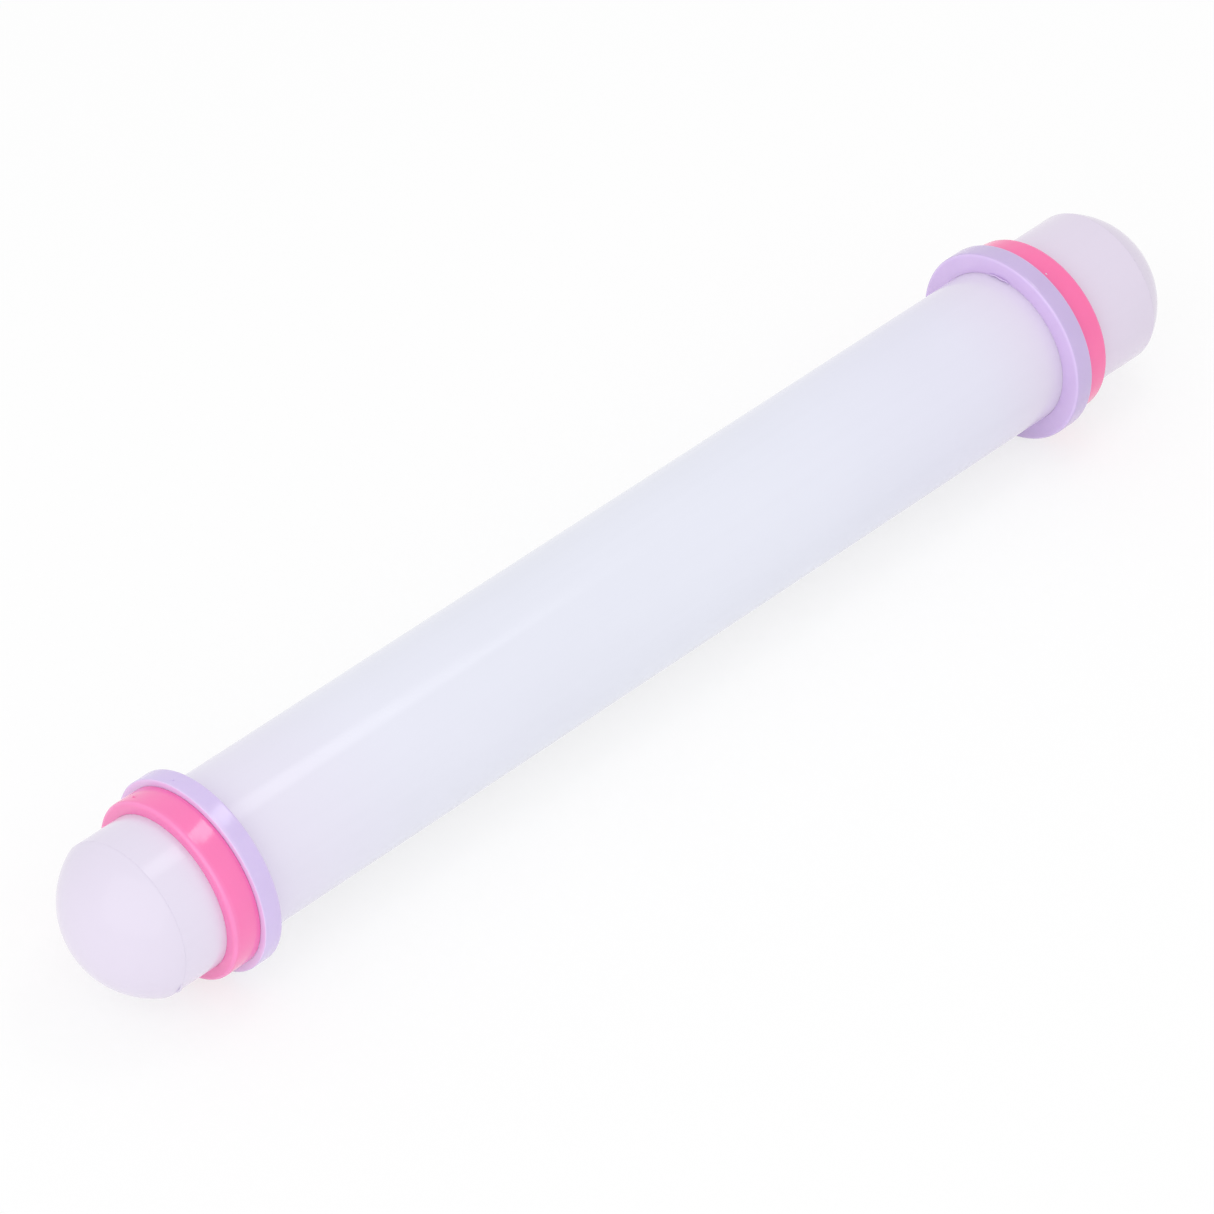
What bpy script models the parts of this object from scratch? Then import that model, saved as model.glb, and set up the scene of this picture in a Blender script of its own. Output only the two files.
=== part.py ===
"""Small rolling pin for sugar paste, with two thickness guide rings at each end.

The pin is an extruded plastic tube, closed at both ends by push-in caps with a
shallow domed outside. Each end carries a pair of plain turned guide rings that
grip the tube by friction: a thin one outboard and a thick one inboard. The
thick rings roll on the worktop and set the thickness of the paste; with them
slid off, the thin rings do.

Frame: metres, +X along the pin from its left to its right end, +Z up, origin on
the pin's axis at half its length.
"""
import math

import bpy

# Roller tube
OVERALL_LENGTH = 0.228
ROLLER_DIAMETER = 0.026
TUBE_WALL = 0.0025
TUBE_EDGE_BREAK = 0.0002

# End caps
DOME_RISE = 0.0082
CAP_WALL = 0.0020
CAP_SEAM = 0.0003
CAP_SKIRT_LENGTH = 0.0110
CAP_SKIRT_WALL = 0.0016
CAP_FIT_CLEARANCE = 0.0003
CAP_LEAD_IN = 0.0006
GRIP_BEAD_HEIGHT = 0.0005
GRIP_BEAD_WIDTH = 0.0010
GRIP_BEAD_RAMP = 0.0005
GRIP_BEAD_PLACE_SHARES = (0.27, 0.62)

# Guide rings: the height is what a ring adds under the roller's surface
THIN_RING_HEIGHT = 0.0020
THIN_RING_WIDTH = 0.0049
THIN_RING_CORNER = 0.0007
THICK_RING_HEIGHT = 0.0032
THICK_RING_WIDTH = 0.0033
THICK_RING_CORNER = 0.0005
RING_BORE_LIP = 0.0003
RING_FIT_CLEARANCE = 0.0002
RING_PAIR_GAP = 0.0002

# From the tip of each end to the outer face of its thin ring
LEFT_RINGS_INSET = 0.0170
RIGHT_RINGS_INSET = 0.0216

# Facets round the axis, and steps along each rounded stretch of a profile
SEGMENTS = 48
OUTER_DOME_STEPS = 9
INNER_DOME_STEPS = 6
CORNER_STEPS = 3
MERGE_DISTANCE = 0.00001

# Colours as linear RGBA, with roughness
MILKY_WHITE = (0.82, 0.82, 0.90, 1.0)
MILKY_ROUGHNESS = 0.32
PINK = (0.97, 0.25, 0.52, 1.0)
LILAC = (0.72, 0.57, 0.85, 1.0)
RING_ROUGHNESS = 0.28

# Sizes that follow from the ones above
ROLLER_RADIUS = ROLLER_DIAMETER / 2
BORE_RADIUS = ROLLER_RADIUS - TUBE_WALL
HALF_LENGTH = OVERALL_LENGTH / 2
TUBE_HALF_LENGTH = HALF_LENGTH - DOME_RISE - CAP_SEAM
DOME_RADIUS = (ROLLER_RADIUS ** 2 + DOME_RISE ** 2) / (2 * DOME_RISE)
DOME_CENTRE = DOME_RISE - DOME_RADIUS
BEAD_RADIUS = BORE_RADIUS - CAP_FIT_CLEARANCE
SKIRT_RADIUS = BEAD_RADIUS - GRIP_BEAD_HEIGHT
SKIRT_INNER_RADIUS = SKIRT_RADIUS - CAP_SKIRT_WALL
RING_BORE_RADIUS = ROLLER_RADIUS + RING_FIT_CLEARANCE


def clear_scene():
    for obj in list(bpy.data.objects):
        bpy.data.objects.remove(obj, do_unlink=True)


def new_collection(name):
    collection = bpy.data.collections.new(name)
    bpy.context.scene.collection.children.link(collection)
    return collection


def plastic(name, colour, roughness):
    """A moulded plastic as one Principled material."""
    material = bpy.data.materials.new(name)
    material.use_nodes = True
    shader = material.node_tree.nodes["Principled BSDF"]
    shader.inputs["Base Color"].default_value = colour
    shader.inputs["Roughness"].default_value = roughness
    shader.inputs["Metallic"].default_value = 0.0
    return material


def arc(radius, centre, start, end, steps):
    """Points (r, z) on a circle round centre, from angle start to angle end."""
    turn = (end - start) / steps
    angles = [start + turn * i for i in range(steps + 1)]
    return [(centre[0] + radius * math.cos(a), centre[1] + radius * math.sin(a)) for a in angles]


def turned(name, profile, closed, material, collection):
    """Turn a profile of (r, z) points round the local Z axis.

    The profile stands half a facet round from +X, so that a flat facet and not
    an edge faces each of the four sides.
    """
    half_facet = math.pi / SEGMENTS
    points = [(r * math.cos(half_facet), r * math.sin(half_facet), z) for r, z in profile]
    edges = [(i, i + 1) for i in range(len(points) - 1)]
    if closed:
        edges.append((len(points) - 1, 0))
    mesh = bpy.data.meshes.new(name)
    mesh.from_pydata(points, edges, [])
    obj = bpy.data.objects.new(name, mesh)
    obj.data.materials.append(material)
    collection.objects.link(obj)
    screw = obj.modifiers.new("turn", "SCREW")
    screw.axis = "Z"
    screw.angle = 2 * math.pi
    screw.steps = SEGMENTS
    screw.render_steps = SEGMENTS
    screw.use_merge_vertices = True
    screw.merge_threshold = MERGE_DISTANCE
    screw.use_smooth_shade = True
    return obj


def tube_profile():
    """The tube's wall, with its end edges broken, from the outer top round."""
    top = TUBE_HALF_LENGTH
    edge = TUBE_EDGE_BREAK
    outer = ROLLER_RADIUS
    inner = BORE_RADIUS
    upper = [(outer - edge, top), (outer, top - edge)]
    lower = [(outer, edge - top), (outer - edge, -top), (inner + edge, -top), (inner, edge - top)]
    return upper + lower + [(inner, top - edge), (inner + edge, top)]


def grip_bead(place):
    """One annular bead on a cap's skirt, centred at the given height."""
    flat = GRIP_BEAD_WIDTH / 2
    foot = flat + GRIP_BEAD_RAMP
    return [
        (SKIRT_RADIUS, place + foot),
        (BEAD_RADIUS, place + flat),
        (BEAD_RADIUS, place - flat),
        (SKIRT_RADIUS, place - foot),
    ]


def cap_profile():
    """Domed outside, rim, beaded skirt and hollow inside; the rim face is at 0."""
    rim_angle = math.atan2(-DOME_CENTRE, ROLLER_RADIUS)
    outside = arc(DOME_RADIUS, (0, DOME_CENTRE), math.pi / 2, rim_angle, OUTER_DOME_STEPS)
    skirt = [(SKIRT_RADIUS, 0)]
    for share in GRIP_BEAD_PLACE_SHARES:
        skirt += grip_bead(-share * CAP_SKIRT_LENGTH)
    mouth = [
        (SKIRT_RADIUS, CAP_LEAD_IN - CAP_SKIRT_LENGTH),
        (SKIRT_RADIUS - CAP_LEAD_IN, -CAP_SKIRT_LENGTH),
        (SKIRT_INNER_RADIUS, -CAP_SKIRT_LENGTH),
    ]
    inner_radius = DOME_RADIUS - CAP_WALL
    inner_angle = math.acos(SKIRT_INNER_RADIUS / inner_radius)
    inside = arc(inner_radius, (0, DOME_CENTRE), inner_angle, math.pi / 2, INNER_DOME_STEPS)
    profile = outside + skirt + mouth + inside
    profile[0] = (0, profile[0][1])
    profile[-1] = (0, profile[-1][1])
    return profile


def ring_profile(height, width, corner):
    """A guide ring's section: rounded outer corners and a small lip at the bore."""
    half = width / 2
    bore = RING_BORE_RADIUS
    outer = ROLLER_RADIUS + height
    lip = RING_BORE_LIP
    top = arc(corner, (outer - corner, half - corner), math.pi / 2, 0, CORNER_STEPS)
    bottom = arc(corner, (outer - corner, corner - half), 0, -math.pi / 2, CORNER_STEPS)
    mouth = [(bore + lip, -half), (bore, lip - half), (bore, half - lip), (bore + lip, half)]
    return top + bottom + mouth


def lay_along_x(collection):
    """An empty whose local Z is the pin's axis, from the left to the right end."""
    axis = bpy.data.objects.new("pin_axis", None)
    axis.empty_display_size = ROLLER_RADIUS
    axis.rotation_euler = (0, math.pi / 2, 0)
    collection.objects.link(axis)
    return axis


def seat(obj, axis, station, side):
    """Put a turned piece on the axis; side is 1 for the right end, -1 for the left."""
    obj.parent = axis
    obj.location = (0, 0, side * station)
    obj.rotation_euler = (0 if side > 0 else math.pi, 0, 0)


def build_end(side, label, inset, axis, collection, materials):
    """The cap and the two guide rings of one end."""
    white, pink, lilac = materials
    cap = turned("end_cap_" + label, cap_profile(), False, white, collection)
    seat(cap, axis, TUBE_HALF_LENGTH + CAP_SEAM, side)

    thin_section = ring_profile(THIN_RING_HEIGHT, THIN_RING_WIDTH, THIN_RING_CORNER)
    thin = turned("thin_guide_ring_" + label, thin_section, True, pink, collection)
    thin_station = HALF_LENGTH - inset - THIN_RING_WIDTH / 2
    seat(thin, axis, thin_station, side)

    thick_section = ring_profile(THICK_RING_HEIGHT, THICK_RING_WIDTH, THICK_RING_CORNER)
    thick = turned("thick_guide_ring_" + label, thick_section, True, lilac, collection)
    between_centres = THIN_RING_WIDTH / 2 + RING_PAIR_GAP + THICK_RING_WIDTH / 2
    seat(thick, axis, thin_station - between_centres, side)


def build_rolling_pin():
    clear_scene()
    collection = new_collection("rolling_pin")
    white = plastic("milky_plastic", MILKY_WHITE, MILKY_ROUGHNESS)
    pink = plastic("pink_plastic", PINK, RING_ROUGHNESS)
    lilac = plastic("lilac_plastic", LILAC, RING_ROUGHNESS)
    materials = (white, pink, lilac)
    axis = lay_along_x(collection)
    tube = turned("roller_tube", tube_profile(), True, white, collection)
    seat(tube, axis, 0, 1)
    build_end(-1, "left", LEFT_RINGS_INSET, axis, collection, materials)
    build_end(1, "right", RIGHT_RINGS_INSET, axis, collection, materials)


build_rolling_pin()
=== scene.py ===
"""Looks of the small rolling pin with two thickness guide rings at each end.

The roller, the caps and the rings are fine turned meshes that stand for the
coarser solids, and their places along the pin come from the frame's boxes. The
moulding marks are small ridges of their own. Metres, +X along the pin from its
left to its right end, +Z up. An angle round the pin is counted from the top
towards the front, -Y.
"""

import math

import bpy
from mathutils import Matrix, Vector, noise


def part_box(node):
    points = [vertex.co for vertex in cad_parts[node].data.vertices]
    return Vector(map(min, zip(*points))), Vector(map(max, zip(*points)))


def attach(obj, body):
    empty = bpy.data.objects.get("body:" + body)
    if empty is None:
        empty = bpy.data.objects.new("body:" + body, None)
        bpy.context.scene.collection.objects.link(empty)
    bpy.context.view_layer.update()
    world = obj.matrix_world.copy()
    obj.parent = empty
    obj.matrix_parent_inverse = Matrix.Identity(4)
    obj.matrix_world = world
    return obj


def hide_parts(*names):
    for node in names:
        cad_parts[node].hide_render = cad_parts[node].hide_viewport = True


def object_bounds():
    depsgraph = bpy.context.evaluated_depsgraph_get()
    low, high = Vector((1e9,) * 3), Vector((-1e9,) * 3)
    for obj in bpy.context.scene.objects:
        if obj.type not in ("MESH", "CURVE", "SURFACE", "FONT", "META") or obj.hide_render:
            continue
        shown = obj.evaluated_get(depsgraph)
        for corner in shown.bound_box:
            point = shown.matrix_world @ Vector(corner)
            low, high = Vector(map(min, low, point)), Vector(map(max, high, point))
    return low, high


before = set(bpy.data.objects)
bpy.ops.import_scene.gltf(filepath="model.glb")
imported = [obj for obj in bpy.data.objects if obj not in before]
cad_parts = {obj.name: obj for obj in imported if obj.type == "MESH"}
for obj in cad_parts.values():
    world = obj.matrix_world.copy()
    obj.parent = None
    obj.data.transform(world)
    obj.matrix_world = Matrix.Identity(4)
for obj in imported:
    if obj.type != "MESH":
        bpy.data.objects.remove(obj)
cad_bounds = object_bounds()

# Roller tube and end caps; the solids leave a wider seam than the real one
ROLLER_RADIUS = 0.0130
TUBE_WALL = 0.0025
TUBE_EDGE_ROUND = 0.00002
SOLID_SEAM = 0.0003
SEAM = 0.00001
CAP_RIM_ROUND = 0.00002
CAP_WALL = 0.0020
SKIRT_RADIUS = 0.0097
SKIRT_WALL = 0.0016
SKIRT_LEAD_IN = 0.0006
BEAD_HEIGHT = 0.0005
BEAD_HALF_WIDTH = 0.0005
BEAD_RAMP = 0.0005
BEAD_PLACE_SHARES = (0.27, 0.62)

# Guide rings; a lean is how far a point moves along the pin for each metre off its axis
THIN_RING_HEIGHT = 0.0020
THIN_RING_ROUND = 0.0007
THICK_RING_HEIGHT = 0.0032
THICK_RING_ROUND = 0.0005
RING_TOUCHING_ROUND = 0.00015
RING_PAIR_GAP = 0.00003
RING_BORE_ROUND = 0.00004
RING_BORE_STANDS_OFF = 0.00001
RING_LEANS = {"left": -0.060, "right": 0.020}
LEAN_ANGLE = math.radians(40.25)
RING_UNEVENNESS = 0.00004
UNEVEN_PATCHES = 90
THIN_RING_SEED = 0
THICK_RING_SEED = 7
SIDES = (("left", -1), ("right", 1))

# Moulding marks: (radius, degrees, x) places along a ridge, and half its greatest thickness.
# The ends of a ridge have a share of it
MARK_END_SHARE = 0.25
GATE_STUB = ((0.0150, -33, -0.0957), (0.01502, -31.5, -0.0956), (0.0150, -30, -0.0957))
GATE_STUB_HALF_THICKNESS = 0.00012
SPECK = ((0.0162, -15.0, -0.0914), (0.0162, -13.4, -0.0914))
SPECK_HALF_THICKNESS = 0.00008
FLECK = ((0.0150, 17.2, 0.0890), (0.0150, 18.8, 0.0890))
FLECK_HALF_THICKNESS = 0.00010

# The left cap's gate nub lies on its seam: (radius, degrees) places
GATE_NUB = ((0.0130, 113), (0.0132, 119), (0.0130, 125))
GATE_NUB_HALF_THICKNESS = 0.00018

# The right thick ring's flash runs round its bore and wavers a little along the pin
FLASH_RADIUS = 0.01335
FLASH_DEGREES = (-13, 6)
FLASH_STEPS = 6
FLASH_WAVER = 0.0001
FLASH_WAVER_TURN = 4.1
FLASH_HALF_THICKNESS = 0.00013

# Fineness of the meshes
AROUND = 256
ROUND_STEPS = 6
DOME_STEPS = 40
TUBE_STEPS = 24
MARK_SIDES = 16
MARK_STEPS = 12
SHARP_ANGLE = math.radians(30)

# Camera: a long lens, from the left and above
VIEW_TURN = math.radians(-45.812)
VIEW_ELEVATION = math.radians(39.470)
CAMERA_DISTANCE = 1.3695
CAMERA_REACH = 20
ORIGIN_RIGHT_IN_VIEW = 0.003318
ORIGIN_UP_IN_VIEW = 0.002552
LENS_MM = 266.89
SENSOR_MM = 36.0

# Studio; a box is an area lamp's place, its size and its power in watts
FLOOR_SIZE = 6.0
FLOOR_COLOUR = (254, 254, 254)
FLOOR_GLOW = 0.72
AMBIENT = 0.825
SURROUND = 0.95
STREAK_BOX = ((0.1445, -0.036, 0.45), (0.205, 0.14), 0.20)
STREAK_BOX_TURN = math.radians(28)
LEFT_BOX = ((-0.72, -0.24, 0.42), (1.25, 0.95), 2.25)

# Colours along the milky pin in sRGB, by shares of its length from the left tip. Over the
# plastic's own bluish white they hold painted light and shade: a pink glow from the rings near
# both ends, shade that deepens towards the right end, and a darker left tip set against the left
# lamp's light
MILKY_TONE_AND_PAINTED_LIGHT_STOPS = (
    (0.00, (230, 221, 239)),
    (0.11, (234, 228, 245)),
    (0.25, (232, 234, 246)),
    (0.60, (233, 235, 246)),
    (0.80, (228, 228, 244)),
    (0.87, (229, 219, 237)),
    (0.94, (228, 218, 236)),
)

# Milky finish: the painted shade that darkens both end caps beside the tube against the light
# their domes catch, specular level, and roughness
CAP_PAINTED_SHADE = 0.96
MILKY_GLOSS = 0.33
MILKY_ROUGHNESS = (0.15, 0.22)

# Ring colours in sRGB at the left and the right tip: flat faces, outer corners, outside.
# The flat faces are painted lighter as if lit from the left, the outer corners hold a painted
# highlight, and all colours at the right tip are darker with painted shade where the light falls
# off
PINK_TINTS = (
    ((253, 128, 190), (252, 114, 174)),
    ((253, 136, 199), (254, 111, 177)),
    ((253, 115, 183), (255, 101, 168)),
)
LILAC_TINTS = (
    ((232, 205, 246), (218, 193, 240)),
    ((235, 210, 250), (219, 195, 243)),
    ((216, 198, 242), (199, 178, 223)),
)

# Ring finishes: subsurface weight, specular level, and lowest and highest roughness
PINK_FINISH = (0.1, 1.0, (0.09, 0.20))
LILAC_FINISH = (0.2, 0.9, (0.11, 0.22))
SUBSURFACE_DEPTH = 0.001
SUBSURFACE_RADIUS = (1.0, 0.85, 0.90)

# How far below a ring's outside its painted corner highlight fades in and out
CORNER_HIGHLIGHT_FADES_IN = (0.0006, 0.0003)
CORNER_HIGHLIGHT_FADES_OUT = (0.00014, 0.00006)

# Noise textures: scale for each axis, or for all three, and detail
MILKY_CLOUDS = (45, 3)
MILKY_GRAIN = (300, 2)
MILKY_SMEARS = (120, 4)
DRAW_LINES = ((6, 900, 900), 4)
DRAW_BANDS = ((9, 500, 500), 2)
RING_CLOUDS = (160, 3)
RING_GRAIN = (500, 2)
RING_SMEARS = (260, 4)
TURNING_LINES = ((3500, 40, 40), 3)
NOISE_USUAL_RANGE = (0.3, 0.7)

# How dark a texture's low places are, as a share of the colour
MILKY_CLOUD_SHADE = 0.985
DRAW_BAND_SHADE = 0.99
RING_CLOUD_SHADE = 0.965

# Bump strengths, all over one small distance
BUMP_DISTANCE = 0.0001
MILKY_GRAIN_BUMP = 0.03
DRAW_LINE_BUMP = 0.02
RING_GRAIN_BUMP = 0.04
TURNING_LINE_BUMP = 0.03


def arc(radius, centre, start, end, steps):
    """Points (r, x) on a circle round centre, from angle start to angle end."""
    turn = (end - start) / steps
    angles = [start + turn * i for i in range(steps + 1)]
    return [(centre[0] + radius * math.cos(a), centre[1] + radius * math.sin(a)) for a in angles]


def straight(start, end, steps):
    """Points (r, x) between the two ends of a straight stretch, both ends left out."""
    shares = [i / steps for i in range(1, steps)]
    run = (end[0] - start[0], end[1] - start[1])
    return [(start[0] + run[0] * s, start[1] + run[1] * s) for s in shares]


def round_the_pin(radius, angle, x):
    """The point at a radius from the axis, an angle from the top, and a place along the pin."""
    return Vector((x, -radius * math.sin(angle), radius * math.cos(angle)))


def new_piece(name, vertices, faces):
    """A smooth shaded mesh object, with its sharp edges kept."""
    mesh = bpy.data.meshes.new(name)
    mesh.from_pydata(vertices, [], faces)
    mesh.validate()
    mesh.shade_smooth()
    mesh.set_sharp_from_angle(angle=SHARP_ANGLE)
    piece = bpy.data.objects.new(name, mesh)
    bpy.context.scene.collection.objects.link(piece)
    return piece


def turned(name, profile, side, closed):
    """A fine mesh turned round the X axis; (r, x) points, x away from the middle of the pin."""
    vertices = []
    rows = []
    for r, x in profile:
        world_x = side * x
        if r == 0:
            rows.append([len(vertices)] * AROUND)
            vertices.append((world_x, 0, 0))
            continue
        rows.append([len(vertices) + i for i in range(AROUND)])
        for i in range(AROUND):
            vertices.append(round_the_pin(r, side * 2 * math.pi * i / AROUND, world_x))
    faces = []
    pairs = list(zip(rows, rows[1:]))
    if closed:
        pairs.append((rows[-1], rows[0]))
    for first, second in pairs:
        for i in range(AROUND):
            j = (i + 1) % AROUND
            corners = [first[i], second[i], second[j], first[j]]
            faces.append(list(dict.fromkeys(corners)))
    return new_piece(name, vertices, faces)


def rounded_section(low, high, inner, outer, far_round, near_round, bore_round):
    """A closed section with round corners: outer far, outer near, bore near, bore far."""
    f, n, q = far_round, near_round, bore_round
    half = math.pi / 2
    points = arc(f, (outer - f, high - f), half, 0, ROUND_STEPS)
    points += arc(n, (outer - n, low + n), 0, -half, ROUND_STEPS)
    points += arc(q, (inner + q, low + q), -half, -2 * half, ROUND_STEPS)
    points += arc(q, (inner + q, high - q), 2 * half, half, ROUND_STEPS)
    return points


def ridge(name, path, radii):
    """A closed bead of round section along a path, with its own radius at each point."""
    vertices = []
    faces = []
    last = len(path) - 1
    for k, point in enumerate(path):
        ahead = (path[min(k + 1, last)] - path[max(k - 1, 0)]).normalized()
        across = ahead.orthogonal().normalized()
        other = ahead.cross(across)
        for i in range(MARK_SIDES):
            a = 2 * math.pi * i / MARK_SIDES
            vertices.append(point + radii[k] * (math.cos(a) * across + math.sin(a) * other))
    for k in range(last):
        row, following = k * MARK_SIDES, (k + 1) * MARK_SIDES
        for i in range(MARK_SIDES):
            j = (i + 1) % MARK_SIDES
            faces.append([row + i, row + j, following + j, following + i])
    faces.append(list(range(MARK_SIDES))[::-1])
    faces.append([last * MARK_SIDES + i for i in range(MARK_SIDES)])
    return new_piece(name, vertices, faces)


def dress(piece, body, nodes, material):
    """Tie a piece to its body, the solids it stands for and its material."""
    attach(piece, body)
    if nodes:
        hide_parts(*nodes)
    piece.data.materials.append(material)


def make_tube(material):
    """The roller, an open tube with its end edges just broken."""
    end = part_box("roller_tube")[1].x + (SOLID_SEAM - SEAM) / 2
    edge = TUBE_EDGE_ROUND
    bore = ROLLER_RADIUS - TUBE_WALL
    section = rounded_section(-end, end, bore, ROLLER_RADIUS, edge, edge, edge)
    split = ROUND_STEPS + 1
    outside = straight((ROLLER_RADIUS, end - edge), (ROLLER_RADIUS, edge - end), TUBE_STEPS)
    profile = section[:split] + outside + section[split:]
    tube = turned("roller_tube_surface", profile, 1, True)
    dress(tube, "roller", ["roller_tube"], material)


def skirt_profile(rim, mouth):
    """The cap's skirt from the rim down to its mouth, with its two grip beads."""
    points = [(SKIRT_RADIUS, rim)]
    crest = SKIRT_RADIUS + BEAD_HEIGHT
    foot = BEAD_HALF_WIDTH + BEAD_RAMP
    for share in BEAD_PLACE_SHARES:
        place = rim - share * (rim - mouth)
        points += [(SKIRT_RADIUS, place + foot), (crest, place + BEAD_HALF_WIDTH)]
        points += [(crest, place - BEAD_HALF_WIDTH), (SKIRT_RADIUS, place - foot)]
    lead_in = [(SKIRT_RADIUS, mouth + SKIRT_LEAD_IN), (SKIRT_RADIUS - SKIRT_LEAD_IN, mouth)]
    return points + lead_in + [(SKIRT_RADIUS - SKIRT_WALL, mouth)]


def make_cap(label, side, material):
    """A domed cap whose rim meets the end of the tube."""
    node = "end_cap_" + label
    low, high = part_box(node)
    tip = max(abs(low.x), abs(high.x))
    mouth = min(abs(low.x), abs(high.x))
    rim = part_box("roller_tube")[1].x + (SOLID_SEAM + SEAM) / 2
    rise = tip - rim
    dome_radius = (ROLLER_RADIUS ** 2 + rise ** 2) / (2 * rise)
    centre = tip - dome_radius
    edge = CAP_RIM_ROUND
    rim_angle = math.asin((rim + edge - centre) / (dome_radius - edge))
    outside = arc(dome_radius, (0, centre), math.pi / 2, rim_angle, DOME_STEPS)
    round_centre = ((dome_radius - edge) * math.cos(rim_angle), rim + edge)
    rim_round = arc(edge, round_centre, rim_angle, -math.pi / 2, ROUND_STEPS)[1:]
    inner_radius = dome_radius - CAP_WALL
    inner_angle = math.acos((SKIRT_RADIUS - SKIRT_WALL) / inner_radius)
    inside = arc(inner_radius, (0, centre), inner_angle, math.pi / 2, DOME_STEPS // 2)
    profile = outside + rim_round + skirt_profile(rim, mouth) + inside
    profile[0] = (0, profile[0][1])
    profile[-1] = (0, profile[-1][1])
    cap = turned(node + "_surface", profile, side, False)
    dress(cap, "roller", [node], material)


def lean_and_wobble(ring, middle, height, slope, seed):
    """Lean a ring a little, its bore still round the tube, and make its outside uneven."""
    leant = round_the_pin(1, LEAN_ANGLE, 0)
    offset = Vector((seed, 0, 0))
    for vertex in ring.data.vertices:
        place = vertex.co.copy()
        outward = Vector((0, place.y, place.z))
        rise_share = max(0, (outward.length - ROLLER_RADIUS) / height)
        swell = RING_UNEVENNESS * rise_share * noise.noise(place * UNEVEN_PATCHES + offset)
        along = slope * Vector((leant.dot(outward), 0, 0))
        tip = along - slope * (place.x - middle) * rise_share * leant
        vertex.co = place + tip + swell * outward.normalized()


def make_ring(kind, label, side, height, corner, material, seed):
    """A guide ring, sharper edged on the side where it meets the other ring of its pair."""
    node = kind + "_guide_ring_" + label
    low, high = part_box(node)
    far = max(abs(low.x), abs(high.x))
    near = min(abs(low.x), abs(high.x))
    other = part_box(("thick" if kind == "thin" else "thin") + "_guide_ring_" + label)
    if kind == "thin":
        near = (near + max(abs(other[0].x), abs(other[1].x)) + RING_PAIR_GAP) / 2
        rounds = (corner, RING_TOUCHING_ROUND)
    else:
        far = (far + min(abs(other[0].x), abs(other[1].x)) - RING_PAIR_GAP) / 2
        rounds = (RING_TOUCHING_ROUND, corner)
    bore = ROLLER_RADIUS + RING_BORE_STANDS_OFF
    outer = ROLLER_RADIUS + height
    profile = rounded_section(near, far, bore, outer, *rounds, RING_BORE_ROUND)
    ring = turned(node + "_surface", profile, side, True)
    lean_and_wobble(ring, side * (near + far) / 2, height, RING_LEANS[label], seed)
    dress(ring, kind + "_ring_" + label, [node], material)


def make_mark(name, body, material, places, half_thickness):
    """A small moulding mark: a ridge through (radius, degrees, x) places, thinner at its ends."""
    stretch = [Vector(p) for p in places]
    path = []
    radii = []
    for k in range(MARK_STEPS + 1):
        share = k / MARK_STEPS
        spot = share * (len(stretch) - 1)
        i = min(int(spot), len(stretch) - 2)
        radius, degrees, x = stretch[i].lerp(stretch[i + 1], spot - i)
        path.append(round_the_pin(radius, math.radians(degrees), x))
        fullness = math.sin(math.pi * share) ** 0.5
        radii.append(half_thickness * (MARK_END_SHARE + (1 - MARK_END_SHARE) * fullness))
    mark = ridge(name, path, radii)
    dress(mark, body, [], material)


def linear(*srgb):
    """An sRGB colour given as 0 to 255, as linear RGBA."""
    scaled = [c / 255 for c in srgb]
    return [c / 12.92 if c <= 0.04045 else ((c + 0.055) / 1.055) ** 2.4 for c in scaled] + [1.0]


def stretched(tree, vector, scale):
    """A vector with its own scale for each axis."""
    mapping = tree.nodes.new("ShaderNodeMapping")
    mapping.inputs["Scale"].default_value = scale
    tree.links.new(vector, mapping.inputs["Vector"])
    return mapping.outputs["Vector"]


def noise_value(tree, vector, pattern, low, high):
    """A noise value spread from low to high over its usual range."""
    scale, detail = pattern
    if isinstance(scale, tuple):
        vector = stretched(tree, vector, scale)
        scale = 1
    texture = tree.nodes.new("ShaderNodeTexNoise")
    texture.inputs["Scale"].default_value = scale
    texture.inputs["Detail"].default_value = detail
    tree.links.new(vector, texture.inputs["Vector"])
    spread = tree.nodes.new("ShaderNodeMapRange")
    spread.inputs["From Min"].default_value = NOISE_USUAL_RANGE[0]
    spread.inputs["From Max"].default_value = NOISE_USUAL_RANGE[1]
    spread.inputs["To Min"].default_value = low
    spread.inputs["To Max"].default_value = high
    tree.links.new(texture.outputs["Fac"], spread.inputs["Value"])
    return spread.outputs["Result"]


def bump(tree, height, strength, normal):
    """A bumped normal, on top of another one if that is given."""
    node = tree.nodes.new("ShaderNodeBump")
    node.inputs["Strength"].default_value = strength
    node.inputs["Distance"].default_value = BUMP_DISTANCE
    tree.links.new(height, node.inputs["Height"])
    if normal:
        tree.links.new(normal, node.inputs["Normal"])
    return node.outputs["Normal"]


def multiplied(tree, colour, value):
    """A colour times a value."""
    node = tree.nodes.new("ShaderNodeMix")
    node.data_type = "RGBA"
    node.blend_type = "MULTIPLY"
    node.inputs["Factor"].default_value = 1.0
    tree.links.new(colour, node.inputs["A"])
    tree.links.new(value, node.inputs["B"])
    return node.outputs["Result"]


def mixed(tree, share, first, second):
    """The first colour where the share is 0, and the second where it is 1."""
    node = tree.nodes.new("ShaderNodeMix")
    node.data_type = "RGBA"
    tree.links.new(share, node.inputs["Factor"])
    tree.links.new(first, node.inputs["A"])
    tree.links.new(second, node.inputs["B"])
    return node.outputs["Result"]


def ramp(tree, value, stops, course):
    """The colour at a value between rising (value, sRGB colour) stops."""
    node = tree.nodes.new("ShaderNodeValToRGB")
    node.color_ramp.interpolation = course
    elements = node.color_ramp.elements
    for place, _ in stops[1:-1]:
        elements.new(place)
    for element, (place, colour) in zip(elements, stops):
        element.position = place
        element.color = linear(*colour)
    tree.links.new(value, node.inputs["Fac"])
    return node.outputs["Color"]


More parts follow.
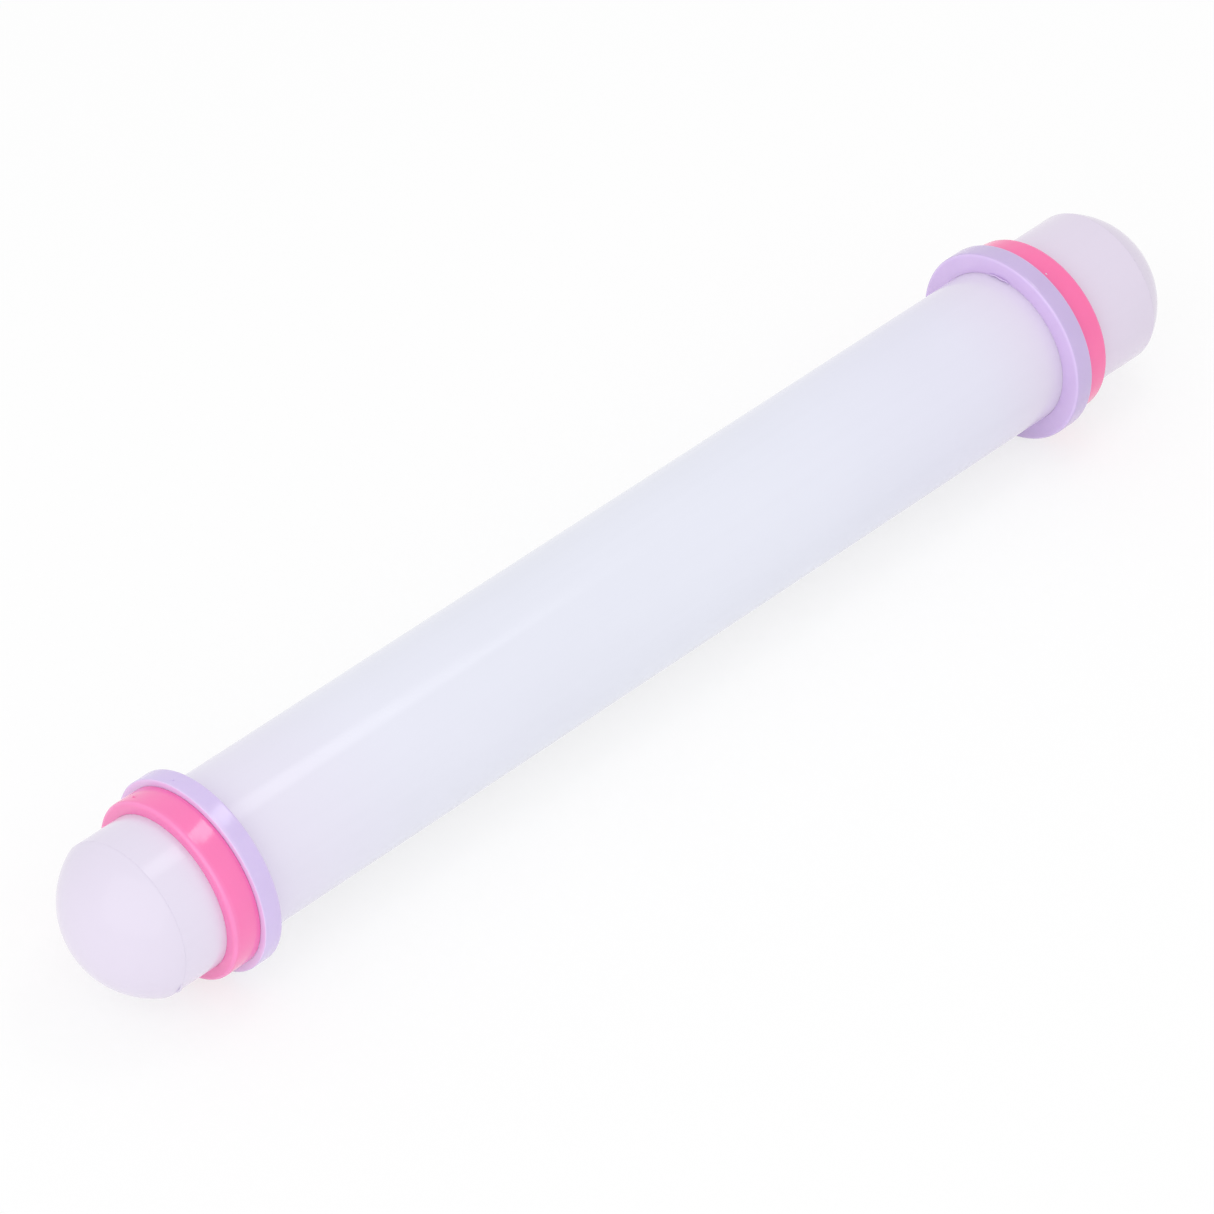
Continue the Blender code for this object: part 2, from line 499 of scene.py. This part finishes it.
def tint_along(tree, place, stops, course="LINEAR"):
    """A colour that changes along the pin; the stops are shares of its length from the left."""
    split = tree.nodes.new("ShaderNodeSeparateXYZ")
    tree.links.new(place, split.inputs["Vector"])
    along = tree.nodes.new("ShaderNodeMapRange")
    along.inputs["From Min"].default_value = cad_bounds[0][0]
    along.inputs["From Max"].default_value = cad_bounds[1][0]
    tree.links.new(split.outputs["X"], along.inputs["Value"])
    return ramp(tree, along.outputs["Result"], stops, course)


def distance_from_axis(tree, place):
    """How far a place on a piece is from the pin's axis."""
    flat = tree.nodes.new("ShaderNodeVectorMath")
    flat.operation = "MULTIPLY"
    flat.inputs[1].default_value = (0, 1, 1)
    tree.links.new(place, flat.inputs[0])
    length = tree.nodes.new("ShaderNodeVectorMath")
    length.operation = "LENGTH"
    tree.links.new(flat.outputs["Vector"], length.inputs[0])
    return length.outputs["Value"]


def outwards(tree, distance, rim, depths):
    """0 up to the first depth below the rim, and 1 from the second on."""
    node = tree.nodes.new("ShaderNodeMapRange")
    node.inputs["From Min"].default_value = rim - depths[0]
    node.inputs["From Max"].default_value = rim - depths[1]
    tree.links.new(distance, node.inputs["Value"])
    return node.outputs["Result"]


def plastic(name, gloss):
    """A new plastic, its tree, its shader, and the place on the piece as a vector."""
    material = bpy.data.materials.new(name)
    material.use_nodes = True
    tree = material.node_tree
    shader = tree.nodes["Principled BSDF"]
    shader.inputs["Specular IOR Level"].default_value = gloss
    place = tree.nodes.new("ShaderNodeTexCoord").outputs["Object"]
    return material, tree, shader, place


def finish_plastic(tree, shader, tint, roughness, normal):
    """Link a plastic's colour, roughness and normal to its shader."""
    tree.links.new(tint, shader.inputs["Base Color"])
    tree.links.new(roughness, shader.inputs["Roughness"])
    tree.links.new(normal, shader.inputs["Normal"])


def milky_plastic(name, drawn, painted_shade):
    """Milky white plastic, all of its colour darkened by the painted shade given; an extruded
    piece also has fine lengthwise draw lines.
    """
    material, tree, shader, place = plastic(name, MILKY_GLOSS)
    clouds = noise_value(tree, place, MILKY_CLOUDS, MILKY_CLOUD_SHADE * painted_shade, painted_shade)
    # The colour along the pin holds painted light and shade: a pink glow by the rings and shade
    # towards the right
    tint = multiplied(tree, tint_along(tree, place, MILKY_TONE_AND_PAINTED_LIGHT_STOPS, "B_SPLINE"), clouds)
    normal = bump(tree, noise_value(tree, place, MILKY_GRAIN, 0, 1), MILKY_GRAIN_BUMP, None)
    if drawn:
        bands = noise_value(tree, place, DRAW_BANDS, DRAW_BAND_SHADE, 1.0)
        tint = multiplied(tree, tint, bands)
        normal = bump(tree, noise_value(tree, place, DRAW_LINES, 0, 1), DRAW_LINE_BUMP, normal)
    roughness = noise_value(tree, place, MILKY_SMEARS, *MILKY_ROUGHNESS)
    finish_plastic(tree, shader, tint, roughness, normal)
    return material


def ring_plastic(name, height, tints, finish):
    """Moulded ring plastic, painted lighter on its flat faces as if lit from the left, with a
    painted highlight along its outer corners.
    """
    subsurface, gloss, roughness_range = finish
    material, tree, shader, place = plastic(name, gloss)
    shader.inputs["Subsurface Weight"].default_value = subsurface
    shader.inputs["Subsurface Radius"].default_value = SUBSURFACE_RADIUS
    shader.inputs["Subsurface Scale"].default_value = SUBSURFACE_DEPTH
    rim = ROLLER_RADIUS + height
    distance = distance_from_axis(tree, place)
    stops = [((0.0, left), (1.0, right)) for left, right in tints]
    # Painted light: lighter faces, highlighted corners, and painted shade darkening the right tip
    face, corner, outside = [tint_along(tree, place, pair) for pair in stops]
    inner = mixed(tree, outwards(tree, distance, rim, CORNER_HIGHLIGHT_FADES_IN), face, corner)
    tint = mixed(tree, outwards(tree, distance, rim, CORNER_HIGHLIGHT_FADES_OUT), inner, outside)
    tint = multiplied(tree, tint, noise_value(tree, place, RING_CLOUDS, RING_CLOUD_SHADE, 1.0))
    normal = bump(tree, noise_value(tree, place, RING_GRAIN, 0, 1), RING_GRAIN_BUMP, None)
    lines = noise_value(tree, place, TURNING_LINES, 0, 1)
    normal = bump(tree, lines, TURNING_LINE_BUMP, normal)
    roughness = noise_value(tree, place, RING_SMEARS, *roughness_range)
    finish_plastic(tree, shader, tint, roughness, normal)
    return material


def make_marks(milky, pink, lilac):
    """The gate stubs, flash and specks of the moulded pieces."""
    seam = -(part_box("roller_tube")[1].x + SOLID_SEAM / 2)
    nub = [(radius, degrees, seam) for radius, degrees in GATE_NUB]
    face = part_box("thick_guide_ring_right")[0].x
    start, end = FLASH_DEGREES
    flash = []
    for k in range(FLASH_STEPS + 1):
        degrees = start + (end - start) * k / FLASH_STEPS
        flash.append((FLASH_RADIUS, degrees, face + FLASH_WAVER * math.sin(FLASH_WAVER_TURN * k)))
    make_mark("cap_gate_nub", "roller", milky,
              nub, GATE_NUB_HALF_THICKNESS)
    make_mark("thin_ring_left_gate_stub", "thin_ring_left", pink,
              GATE_STUB, GATE_STUB_HALF_THICKNESS)
    make_mark("thick_ring_left_speck", "thick_ring_left", lilac,
              SPECK, SPECK_HALF_THICKNESS)
    make_mark("thin_ring_right_fleck", "thin_ring_right", milky,
              FLECK, FLECK_HALF_THICKNESS)
    make_mark("thick_ring_right_flash", "thick_ring_right", lilac,
              flash, FLASH_HALF_THICKNESS)


def make_pieces():
    """The roller, and the cap, the two rings and the marks of each end."""
    extruded = milky_plastic("extruded_milky_plastic", True, 1.0)
    # The caps' copy of the milky plastic is darker by a painted shade
    moulded = milky_plastic("moulded_milky_plastic", False, CAP_PAINTED_SHADE)
    pink = ring_plastic("moulded_pink_plastic", THIN_RING_HEIGHT, PINK_TINTS, PINK_FINISH)
    lilac = ring_plastic("moulded_lilac_plastic", THICK_RING_HEIGHT, LILAC_TINTS, LILAC_FINISH)
    make_tube(extruded)
    for i, (label, side) in enumerate(SIDES):
        make_cap(label, side, moulded)
        make_ring("thin", label, side, THIN_RING_HEIGHT, THIN_RING_ROUND,
                  pink, THIN_RING_SEED + i)
        make_ring("thick", label, side, THICK_RING_HEIGHT, THICK_RING_ROUND,
                  lilac, THICK_RING_SEED + i)
    make_marks(moulded, pink, lilac)


def make_camera():
    """The camera, turned to the pin and moved aside so that the pin sits as in the photograph."""
    camera = bpy.data.objects.new("camera", bpy.data.cameras.new("camera"))
    camera.data.lens = LENS_MM
    camera.data.sensor_width = SENSOR_MM
    camera.data.clip_end = CAMERA_REACH
    bpy.context.scene.collection.objects.link(camera)
    turn = Matrix.Rotation(VIEW_TURN, 3, "Z")
    tilt = Matrix.Rotation(-VIEW_ELEVATION, 3, "X")
    axes = turn @ tilt
    right, forward, up = axes.col[0], axes.col[1], axes.col[2]
    back_off = CAMERA_DISTANCE * forward + ORIGIN_RIGHT_IN_VIEW * right + ORIGIN_UP_IN_VIEW * up
    camera.location = -back_off
    camera.rotation_mode = "QUATERNION"
    camera.rotation_quaternion = Matrix((right, up, -forward)).transposed().to_quaternion()
    bpy.context.scene.camera = camera


def make_area_lamp(name, place, size, power):
    """An area lamp that faces the middle of the pin."""
    lamp = bpy.data.lights.new(name, "AREA")
    lamp.shape = "RECTANGLE"
    lamp.size, lamp.size_y = size
    lamp.energy = power
    holder = bpy.data.objects.new(name, lamp)
    holder.location = place
    holder.rotation_euler = (-Vector(place)).to_track_quat("-Z", "Y").to_euler()
    bpy.context.scene.collection.objects.link(holder)
    return holder


def make_lamps():
    """A box at the left, and one that hangs level above and draws the streak on the roller."""
    streak = make_area_lamp("streak_softbox", *STREAK_BOX)
    streak.rotation_euler = (0, 0, STREAK_BOX_TURN)
    make_area_lamp("left_softbox", *LEFT_BOX)


def seen_directly(tree):
    """1 where a ray comes straight from the camera or by a mirror or glass, else 0."""
    rays = tree.nodes.new("ShaderNodeLightPath")
    total = rays.outputs["Is Camera Ray"]
    for kind in ("Is Glossy Ray", "Is Transmission Ray"):
        adder = tree.nodes.new("ShaderNodeMath")
        adder.operation = "MAXIMUM"
        tree.links.new(total, adder.inputs[0])
        tree.links.new(rays.outputs[kind], adder.inputs[1])
        total = adder.outputs["Value"]
    return total


def floor_paint():
    """Plain white paint that looks brighter to the camera than it lights the pin."""
    material = bpy.data.materials.new("floor_paint")
    material.use_nodes = True
    tree = material.node_tree
    tree.nodes.clear()
    paint = tree.nodes.new("ShaderNodeBsdfDiffuse")
    paint.inputs["Color"].default_value = linear(*FLOOR_COLOUR)
    glow = tree.nodes.new("ShaderNodeEmission")
    share = tree.nodes.new("ShaderNodeMath")
    share.operation = "MULTIPLY"
    share.inputs[1].default_value = FLOOR_GLOW
    tree.links.new(seen_directly(tree), share.inputs[0])
    mix = tree.nodes.new("ShaderNodeMixShader")
    tree.links.new(share.outputs["Value"], mix.inputs["Fac"])
    tree.links.new(paint.outputs["BSDF"], mix.inputs[1])
    tree.links.new(glow.outputs["Emission"], mix.inputs[2])
    output = tree.nodes.new("ShaderNodeOutputMaterial")
    tree.links.new(mix.outputs["Shader"], output.inputs["Surface"])
    return material


def make_stage():
    """The floor under the thick rings, and a plain white surround."""
    floor_height = -(ROLLER_RADIUS + THICK_RING_HEIGHT)
    bpy.ops.mesh.primitive_plane_add(size=FLOOR_SIZE, location=(0, 0, floor_height))
    floor = bpy.context.object
    floor.name = "floor"
    floor.data.materials.append(floor_paint())
    world = bpy.data.worlds.new("studio")
    bpy.context.scene.world = world
    world.use_nodes = True
    tree = world.node_tree
    strength = tree.nodes.new("ShaderNodeMapRange")
    strength.inputs["To Min"].default_value = AMBIENT
    strength.inputs["To Max"].default_value = SURROUND
    tree.links.new(seen_directly(tree), strength.inputs["Value"])
    background = tree.nodes["Background"]
    background.inputs["Color"].default_value = (1, 1, 1, 1)
    tree.links.new(strength.outputs["Result"], background.inputs["Strength"])


make_pieces()
make_camera()
make_lamps()
make_stage()
bpy.context.scene.view_settings.view_transform = "Standard"
